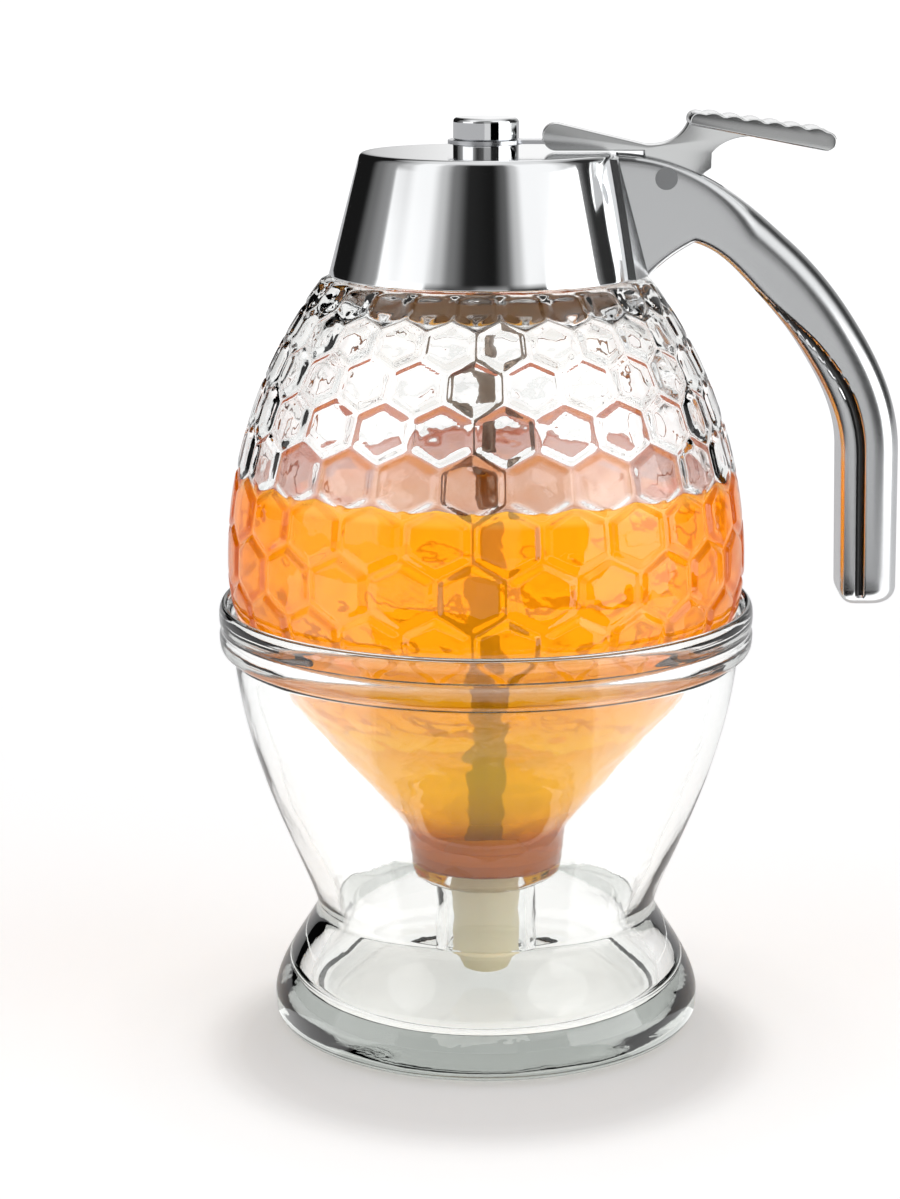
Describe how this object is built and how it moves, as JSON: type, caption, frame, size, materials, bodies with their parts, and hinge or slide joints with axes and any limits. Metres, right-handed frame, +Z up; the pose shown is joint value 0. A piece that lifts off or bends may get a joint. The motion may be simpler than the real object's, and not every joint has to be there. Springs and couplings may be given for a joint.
{
  "type": "honey dispenser",
  "caption": "Glass honey dispenser with honeycomb relief, a screwed chrome lid with handle and thumb lever that lifts a plunger valve, in a glass stand.",
  "frame": {"origin": "centre of the stand's foot, on the surface it stands on", "axes": "+Z up along the jar's axis, +X towards the handle, which lies in the XZ plane"},
  "size_m": [0.1089, 0.086, 0.1483],
  "materials": {
    "stand_glass": "gloss",
    "jar_glass": "gloss",
    "honey": "gloss",
    "chrome_plate": "polished",
    "handle_metal": "polished",
    "lever_metal": "satin",
    "rod_steel": "polished",
    "steel": "satin",
    "liner_plastic": "satin",
    "silicone": "satin"
  },
  "bodies": {
    "stand": {"glass_stand": "stand_glass"},
    "jar": {"glass_jar": "jar_glass", "honey": "honey"},
    "lid_seal": {"lid_gasket": "silicone"},
    "lid": {"lid_shell": "chrome_plate", "lid_liner": "liner_plastic", "guide_bush": "chrome_plate", "bush_nut": "steel", "handle_saddle": "chrome_plate", "handle": "handle_metal", "handle_screws": "steel", "lever_pin": "steel"},
    "lever": {"lever": "lever_metal", "lift_ring": "steel"},
    "plunger": {"knob": "chrome_plate", "plunger_rod": "rod_steel", "spring": "steel", "spring_washer": "steel", "retaining_clip": "steel", "stopper": "silicone"}
  },
  "joints": [
    {"name": "jar_lift", "type": "slide", "parent": "stand", "child": "jar", "axis": [0, 0, 1], "range_m": [0, 0.08]},
    {"name": "lid_rise", "type": "slide", "parent": "jar", "child": "lid_seal", "axis": [0, 0, 1], "range_m": [0, 0.004]},
    {"name": "lid_turn", "type": "hinge", "parent": "lid_seal", "child": "lid", "pos_m": [0, 0, 0.13], "axis": [0, 0, 1], "range_deg": [0, 450]},
    {"name": "lever_press", "type": "hinge", "parent": "lid", "child": "lever", "pos_m": [0.028, 0, 0.1382], "axis": [0, 1, 0], "range_deg": [0, 11]},
    {"name": "plunger_lift", "type": "slide", "parent": "lid", "child": "plunger", "axis": [0, 0, 1], "range_m": [0, 0.0065], "stiffness_N_per_m": 180, "springref_m": -0.007, "deforming": ["spring"]}
  ],
  "couplings": [
    {"joint": "lid_turn", "follows": "lid_rise", "rad_per_m": 1963.5},
    {"joint": "lever_press", "follows": "plunger_lift", "rad_per_m": 29.41}
  ]
}
